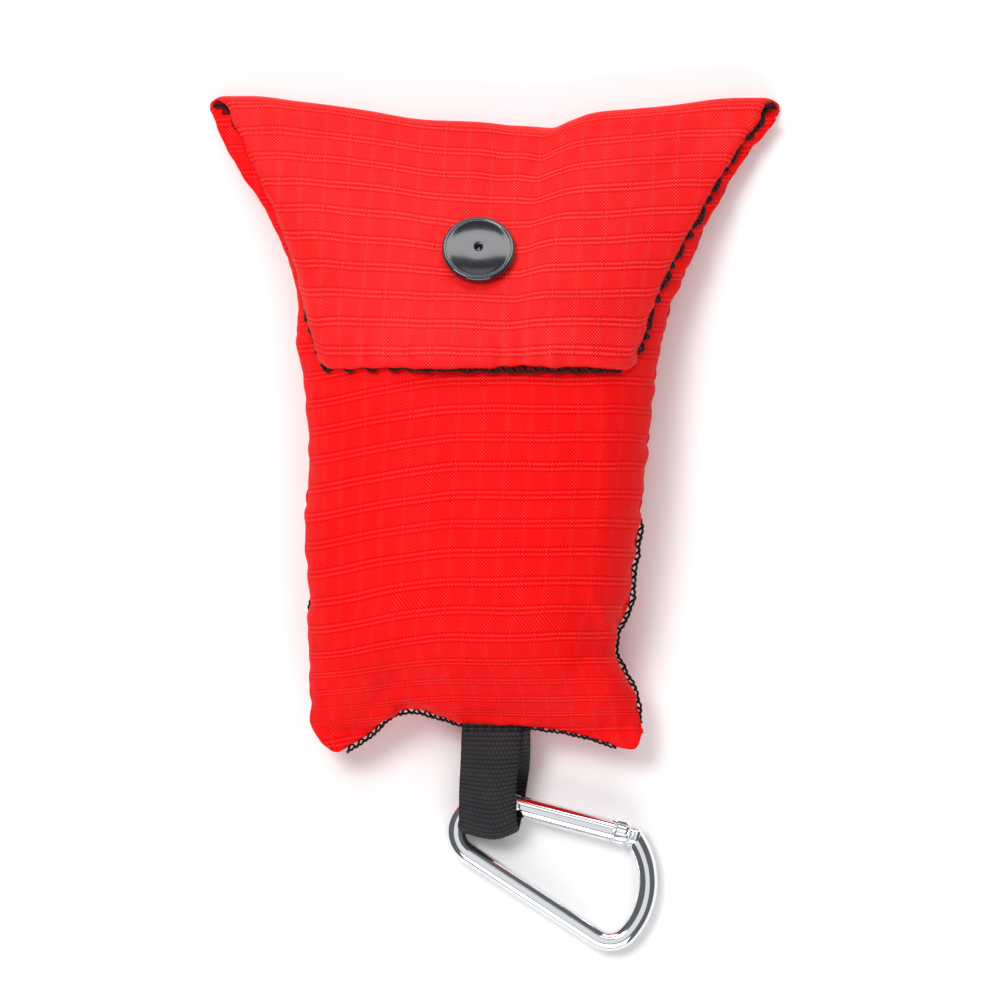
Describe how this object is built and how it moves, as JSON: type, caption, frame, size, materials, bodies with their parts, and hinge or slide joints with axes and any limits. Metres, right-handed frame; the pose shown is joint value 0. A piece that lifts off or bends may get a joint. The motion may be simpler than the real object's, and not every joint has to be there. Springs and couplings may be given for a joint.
{
  "type": "first aid kit pouch",
  "caption": "Small soft pouch lying on its back, closed by a trapezoid flap with a round snap button, with a webbing loop at its foot that carries a small D-shaped gated carabiner.",
  "frame": {"origin": "centre of the flat patch of the back panel that the pouch rests on", "axes": "+X to the right of the pouch seen from the front, +Y towards the fold of the flap, +Z out of the front panel"},
  "size_m": [0.0954, 0.1476, 0.0293],
  "materials": {
    "ripstop": "satin",
    "thread": "matte",
    "snap": "gloss",
    "webbing": "matte",
    "polished_metal": "polished",
    "steel": "satin",
    "paper_wrap": "matte",
    "nitrile": "satin",
    "clear_film": "gloss",
    "foil": "satin",
    "white_plastic": "satin"
  },
  "bodies": {
    "pouch": {"back_panel": "ripstop", "front_panel": "ripstop", "fold_strip": "ripstop", "side_seam_left": "thread", "side_seam_right": "thread", "bottom_seam": "thread", "snap_stud": "snap", "snap_stud_cap": "snap", "gauze_pad": "paper_wrap", "glove_first": "nitrile", "glove_second": "nitrile", "plaster_first": "paper_wrap", "plaster_second": "paper_wrap", "plaster_third": "paper_wrap", "plaster_fourth": "paper_wrap", "face_shield": "clear_film", "wipe_first": "foil", "wipe_second": "foil", "shield_valve": "white_plastic"},
    "flap": {"flap": "ripstop", "flap_overlock_left": "thread", "flap_overlock_right": "thread", "flap_overlock_end": "thread", "snap_cap": "snap", "snap_socket": "snap"},
    "loop": {"webbing_loop": "webbing", "loop_stitching": "thread"},
    "carabiner": {"carabiner_body": "polished_metal", "gate_pivot_pin": "steel"},
    "gate": {"carabiner_gate": "polished_metal", "gate_latch_pin": "steel", "gate_plunger": "steel", "gate_spring": "steel"}
  },
  "joints": [
    {"name": "flap_fold", "type": "hinge", "parent": "pouch", "child": "flap", "pos_m": [0, 0.0593, 0.0029], "axis": [-1, 0, 0], "range_deg": [0, 135], "deforming": ["fold_strip"]},
    {"name": "loop_swing", "type": "hinge", "parent": "pouch", "child": "loop", "pos_m": [0, -0.0495, 0.0086], "axis": [-1, 0, 0], "range_deg": [0, 60]},
    {"name": "carabiner_swing", "type": "hinge", "parent": "loop", "child": "carabiner", "pos_m": [0, -0.0599, 0.0035], "axis": [-1, 0, 0], "range_deg": [0, 90]},
    {"name": "gate_open", "type": "hinge", "parent": "carabiner", "child": "gate", "pos_m": [0.0055, -0.06, 0.00349], "axis": [0, 0.0698, -0.9976], "range_deg": [0, 26], "stiffness_Nm_per_rad": 0.004, "springref_deg": -5.73}
  ]
}
